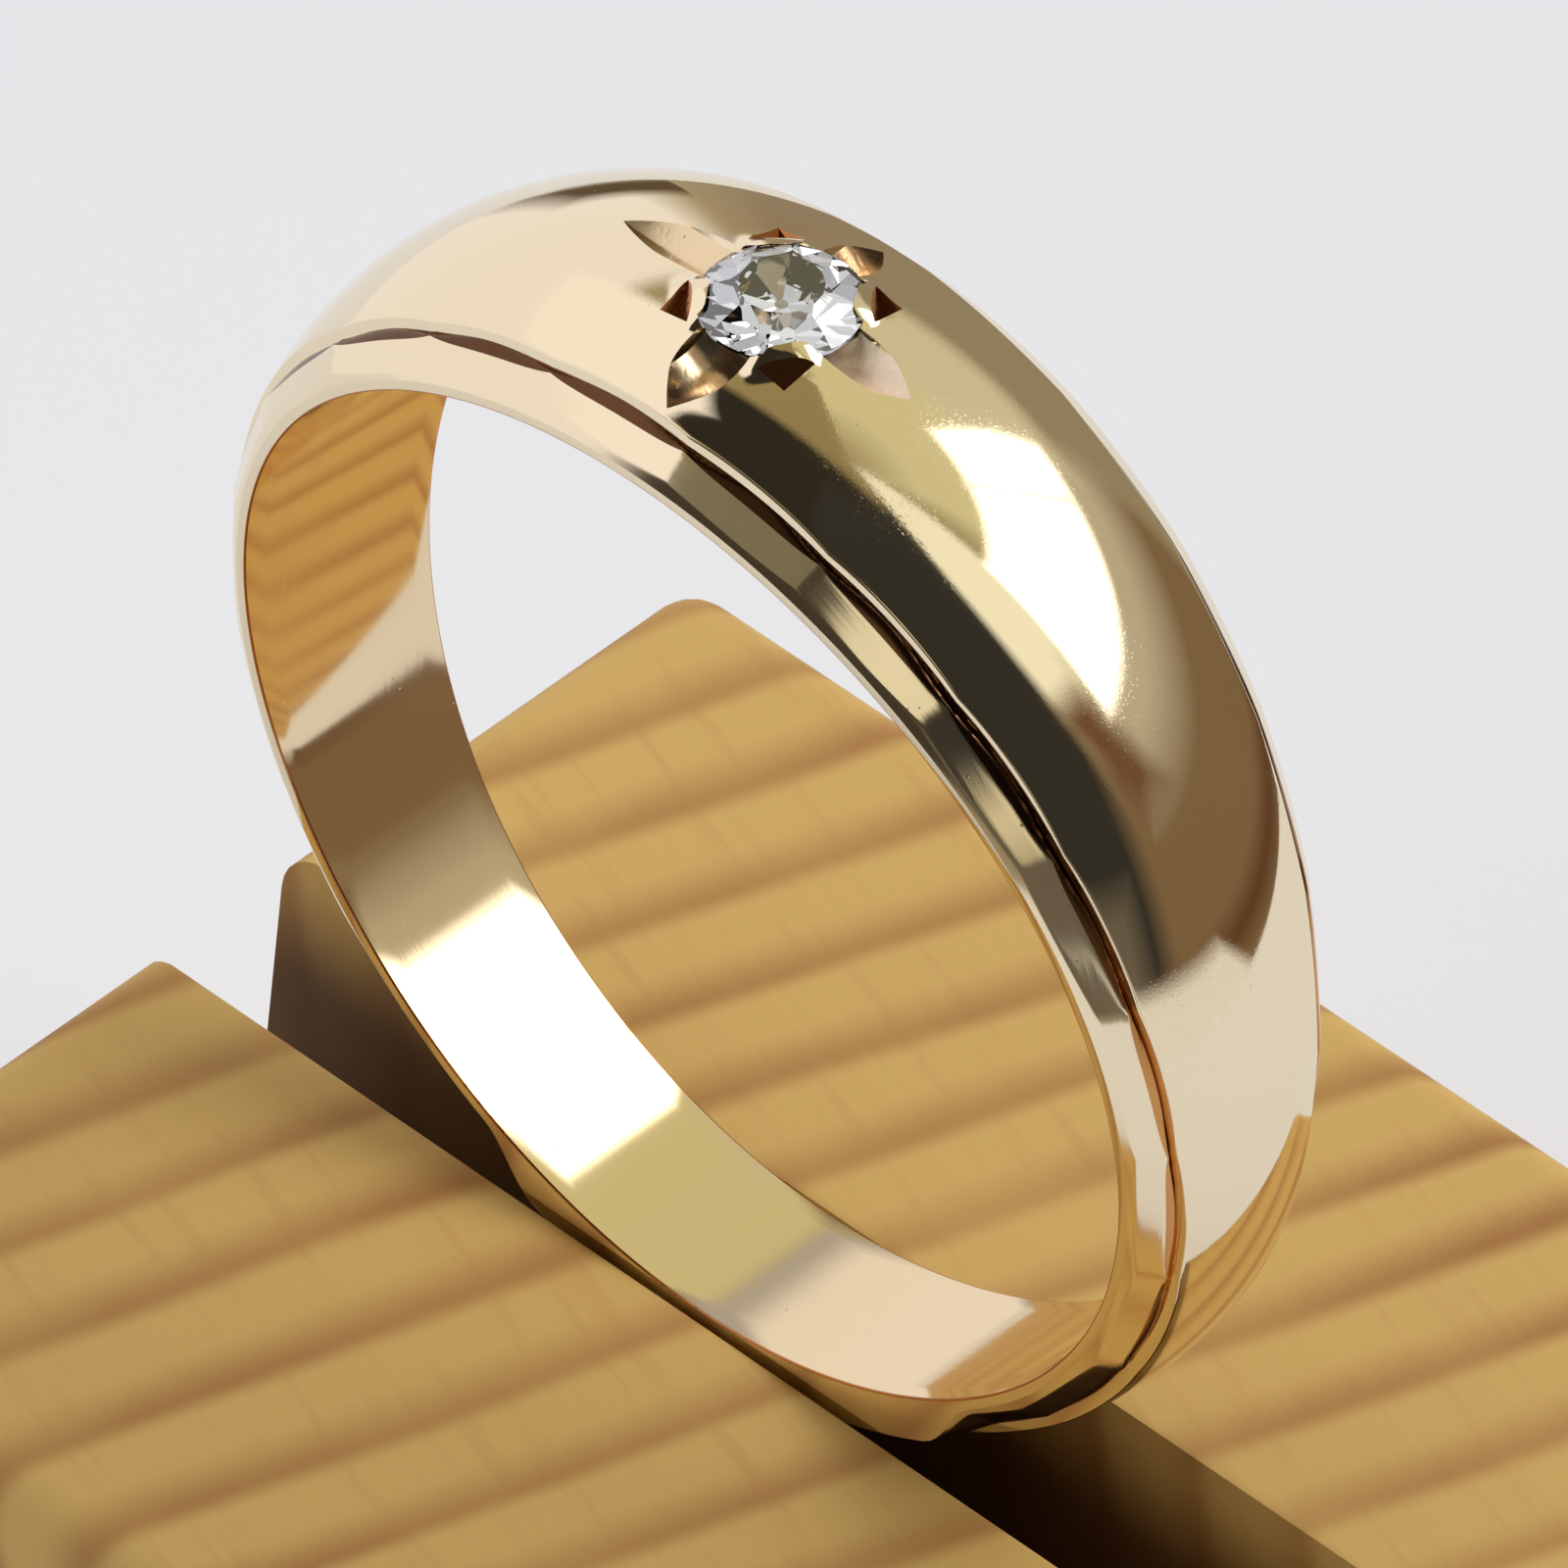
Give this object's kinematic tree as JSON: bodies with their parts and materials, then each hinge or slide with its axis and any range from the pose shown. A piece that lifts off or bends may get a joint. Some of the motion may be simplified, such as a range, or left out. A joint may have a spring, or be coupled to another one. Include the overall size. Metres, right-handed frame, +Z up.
{
  "type": "solitaire ring on a slotted wooden stand",
  "caption": "Domed gold ring with a round brilliant in a star of leaf cuts and a scooped border, upright in a slotted wooden block.",
  "frame": {"origin": "middle of the stand's underside", "axes": "+Z up, through the stone's table; +Y along the axis of the finger hole, across the slot; +X along the slot"},
  "size_m": [0.0242, 0.021, 0.0309],
  "materials": {
    "gold": "mirror polish with fine wear scratches",
    "stone": "polished facets",
    "wood": "bare sanded softwood"
  },
  "bodies": {
    "root": {"gold_band": "gold", "diamond": "stone", "wood_stand": "wood"}
  },
  "joints": []
}
